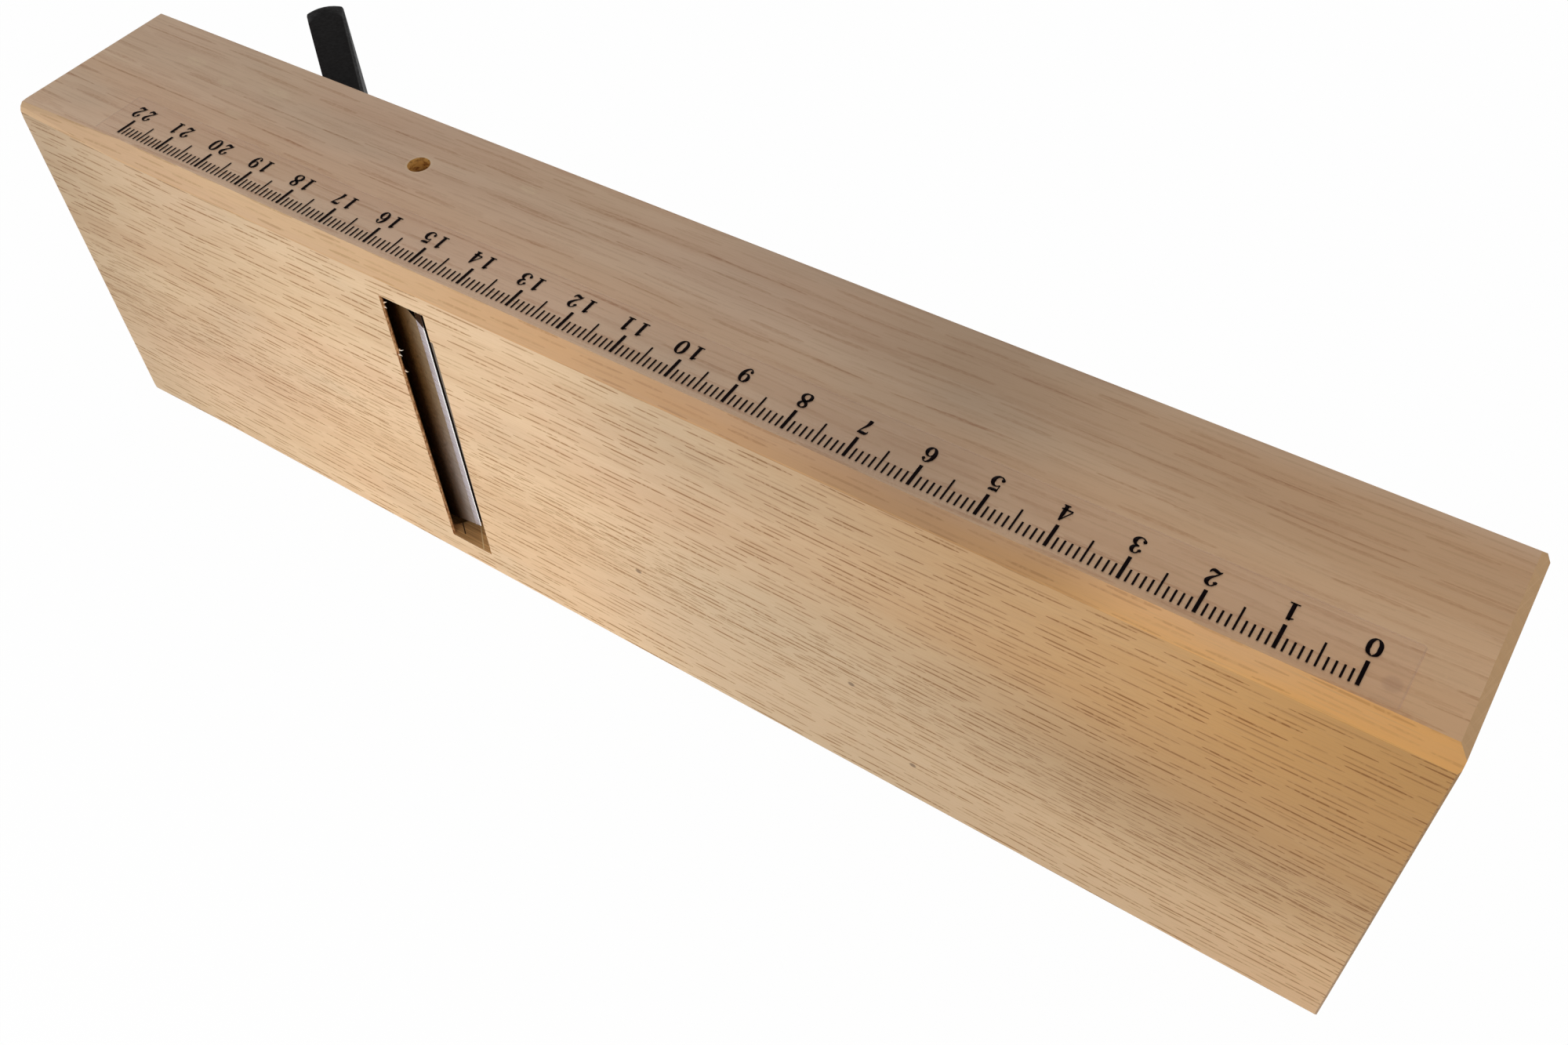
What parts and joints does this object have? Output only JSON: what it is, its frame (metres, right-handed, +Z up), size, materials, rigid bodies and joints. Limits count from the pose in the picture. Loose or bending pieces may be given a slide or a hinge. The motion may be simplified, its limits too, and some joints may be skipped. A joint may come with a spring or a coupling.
{
  "type": "japanese hand plane",
  "caption": "Pull plane lying on its cheek: a solid wood block, a thick wedge-shaped iron in a sloping throat, a chipbreaker behind a cross pin and a clear centimetre scale.",
  "frame": {"origin": "centre of the cheek that the block rests on, halfway along the block and halfway between the sole and the top face", "axes": "+X along the block towards the front end, where the scale starts; -Y out of the sole; +Y out of the top face, where the iron's head stands out; +Z up, towards the cheek with the scale"},
  "size_m": [0.258, 0.0628, 0.0746],
  "materials": {
    "oak": "planed bare oak, no varnish",
    "black_iron": "blackened forged iron, satin",
    "hard_steel": "ground and honed steel",
    "dark_steel": "dark forged steel with a ground bevel",
    "pin_steel": "drawn steel rod",
    "clear_film": "clear self-adhesive film"
  },
  "bodies": {
    "plane_body": {"block": "oak", "chipbreaker_pin": "pin_steel", "scale_film": "clear_film"},
    "blade": {"blade_iron": "black_iron", "blade_steel": "hard_steel"},
    "chipbreaker_body": {"chipbreaker": "dark_steel"}
  },
  "joints": [
    {"name": "blade_slide", "type": "slide", "parent": "plane_body", "child": "blade", "axis": [-0.796, 0.6053, 0], "range_m": [-0.0026, 0.062]},
    {"name": "chipbreaker_slide", "type": "slide", "parent": "blade", "child": "chipbreaker_body", "axis": [-0.7804, 0.6252, 0], "range_m": [-0.0015, 0.054]}
  ]
}
